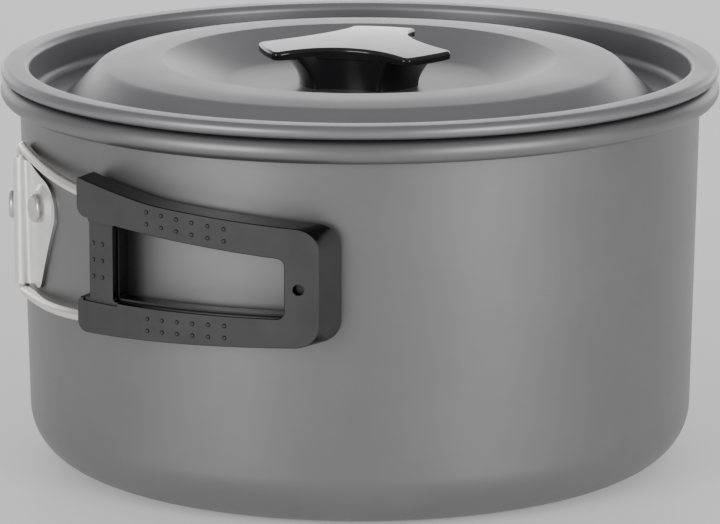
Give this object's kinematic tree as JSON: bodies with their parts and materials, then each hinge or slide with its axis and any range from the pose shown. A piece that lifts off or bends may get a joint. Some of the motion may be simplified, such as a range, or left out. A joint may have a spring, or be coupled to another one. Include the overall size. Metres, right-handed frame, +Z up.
{
  "type": "cook pot",
  "caption": "Round lidded cook pot with rolled rim, drop-in lid with three-winged knob, and a side handle on a steel wire that folds flat against the wall.",
  "frame": {"origin": "centre of the pot's underside, on the ground, on the pot's axis", "axes": "+Z up along the pot's axis; -Y is the front, the side the folded handle lies across; the handle's pivot is on the -X side"},
  "size_m": [0.2004, 0.2048, 0.1172],
  "materials": {
    "hard_anodised_aluminium": "hard-anodised, satin dark grey",
    "hard_anodised_lid": "hard-anodised, satin grey",
    "knob_plastic": "glossy black moulded plastic",
    "insert_brass": "turned brass",
    "screw_steel": "plain stainless",
    "bracket_steel": "pressed stainless sheet, satin",
    "rivet_steel": "satin steel",
    "wire_steel": "drawn stainless wire, semi-bright",
    "pin_steel": "blackened steel pin end",
    "grip_plastic": "satin black moulded plastic"
  },
  "bodies": {
    "pot": {"pot_body": "hard_anodised_aluminium", "handle_bracket": "bracket_steel", "bracket_rivet_front": "rivet_steel", "bracket_rivet_rear": "rivet_steel"},
    "lid_assembly": {"lid": "hard_anodised_lid", "lid_knob": "knob_plastic", "knob_insert": "insert_brass", "knob_washer": "screw_steel", "knob_screw": "screw_steel"},
    "handle": {"handle_wire": "wire_steel", "grip_outer_shell": "grip_plastic", "grip_inner_shell": "grip_plastic", "grip_pin": "pin_steel"}
  },
  "joints": [
    {"name": "lid_lift", "type": "slide", "parent": "pot", "child": "lid_assembly", "axis": [0, 0, 1], "range_m": [0, 0.06]},
    {"name": "handle_swing", "type": "hinge", "parent": "pot", "child": "handle", "pos_m": [-0.09286, -0.02663, 0.071], "axis": [0, 0, -1], "range_deg": [0, 160]}
  ]
}
